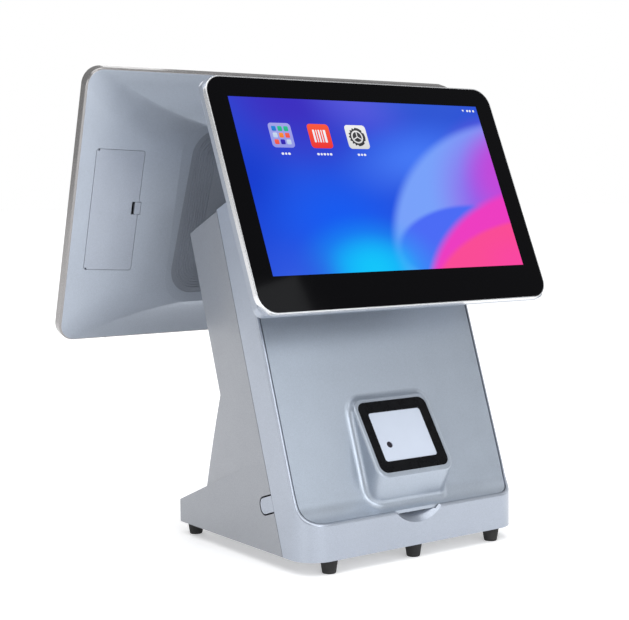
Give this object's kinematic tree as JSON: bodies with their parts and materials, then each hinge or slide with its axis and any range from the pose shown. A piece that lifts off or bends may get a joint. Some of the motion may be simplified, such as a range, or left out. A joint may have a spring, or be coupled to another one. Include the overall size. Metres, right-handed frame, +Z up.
{
  "type": "pos touchscreen terminal",
  "caption": "Two-screen shop terminal: tilting cashier touchscreen and customer display on a stand with a code scanner in its lift-off front cover.",
  "frame": {"origin": "centre of the bounding box in plan, at the level of the feet's undersides", "axes": "+Z up, -Y towards the customer (code scanner and smaller screen), +Y towards the cashier, +X to the customer's right"},
  "size_m": [0.3916, 0.2558, 0.3993],
  "materials": {
    "silver_paint": "silver metallic lacquer on moulded plastic, fine flake, satin",
    "silver_cover": "cool silver metallic lacquer on moulded plastic, satin",
    "bright_trim": "bright silver painted rim, satin",
    "black_glass": "black-backed glass, glossy",
    "panel": "pressed metal display module",
    "sheet_steel": "zinc-plated sheet steel",
    "cast_arm": "cast aluminium, matt",
    "pin_steel": "ground steel",
    "screw_steel": "nickel-plated screws and nuts",
    "rubber": "black moulded rubber, matt",
    "circuit_board": "green solder mask",
    "socket_metal": "bright plated socket shells",
    "black_plastic": "black moulded plastic",
    "diffuser": "milky white diffuser window",
    "lens": "dark coated lens",
    "heat_sink": "extruded aluminium",
    "led": "white light-emitting diodes"
  },
  "bodies": {
    "stand": {"rear_shell": "silver_paint", "front_frame": "silver_paint", "base_plate": "sheet_steel", "rubber_feet": "rubber", "base_screws": "screw_steel", "ballast_plate": "sheet_steel", "support_frame": "sheet_steel", "io_board": "circuit_board", "usb_sockets": "socket_metal", "network_socket": "socket_metal", "power_socket": "black_plastic", "io_face_plate": "socket_metal", "main_hinge_arm": "cast_arm", "main_hinge_pin": "pin_steel", "main_friction_washers": "pin_steel", "main_hinge_nuts": "screw_steel", "customer_hinge_arm": "cast_arm", "customer_hinge_pin": "pin_steel", "customer_friction_washers": "pin_steel", "customer_hinge_nuts": "screw_steel"},
    "left_tab": {"left_release_tab": "silver_paint"},
    "right_tab": {"right_release_tab": "silver_paint"},
    "front_cover": {"front_cover": "silver_cover", "scanner_bezel": "black_plastic", "scanner_window": "diffuser", "scanner_lens": "lens", "scanner_camera": "black_plastic", "scanner_board": "circuit_board", "scanner_lights": "led"},
    "customer_display": {"customer_glass": "black_glass", "customer_trim": "bright_trim", "customer_lcd": "panel", "customer_chassis": "sheet_steel", "customer_driver_board": "circuit_board", "customer_back_shell": "silver_paint", "customer_hinge_bracket": "sheet_steel", "customer_bracket_screws": "screw_steel"},
    "main_display": {"main_glass": "black_glass", "main_rim": "bright_trim", "main_lcd": "panel", "main_chassis": "sheet_steel", "main_back_cover": "silver_paint", "mainboard": "circuit_board", "heat_sink": "heat_sink", "drive_module": "circuit_board", "drive_socket": "black_plastic", "speakers": "black_plastic", "main_hinge_bracket": "sheet_steel", "main_bracket_screws": "screw_steel", "power_switch": "black_plastic"},
    "service_door": {"service_door": "silver_paint"},
    "door_latch": {"door_latch": "silver_paint"},
    "power_button": {"power_button": "bright_trim"}
  },
  "joints": [
    {"name": "main_tilt", "type": "hinge", "parent": "stand", "child": "main_display", "pos_m": [0, 0.05605, 0.252], "axis": [1, 0, 0], "range_deg": [-15, 25]},
    {"name": "customer_tilt", "type": "hinge", "parent": "stand", "child": "customer_display", "pos_m": [0, -0.05995, 0.262], "axis": [1, 0, 0], "range_deg": [-12, 15]},
    {"name": "cover_lift", "type": "slide", "parent": "stand", "child": "front_cover", "axis": [0, 0.3206, 0.9472], "range_m": [0, 0.01]},
    {"name": "left_tab_press", "type": "hinge", "parent": "stand", "child": "left_tab", "pos_m": [-0.1081, -0.08136, 0.05108], "axis": [0, -0.3161, -0.9487], "range_deg": [0, 7], "stiffness_Nm_per_rad": 1},
    {"name": "right_tab_press", "type": "hinge", "parent": "stand", "child": "right_tab", "pos_m": [0.1081, -0.08136, 0.05108], "axis": [0, 0.3161, 0.9487], "range_deg": [0, 7], "stiffness_Nm_per_rad": 1},
    {"name": "door_swing", "type": "hinge", "parent": "main_display", "child": "service_door", "pos_m": [-0.18, 0.0821, 0.28246], "axis": [0, 0.2924, -0.9563], "range_deg": [0, 95]},
    {"name": "latch_slide", "type": "slide", "parent": "service_door", "child": "door_latch", "axis": [-1, 0, 0], "range_m": [0, 0.0018], "stiffness_N_per_m": 400},
    {"name": "power_press", "type": "slide", "parent": "main_display", "child": "power_button", "axis": [0, -0.2924, 0.9563], "range_m": [0, 0.0008], "stiffness_N_per_m": 1500}
  ]
}
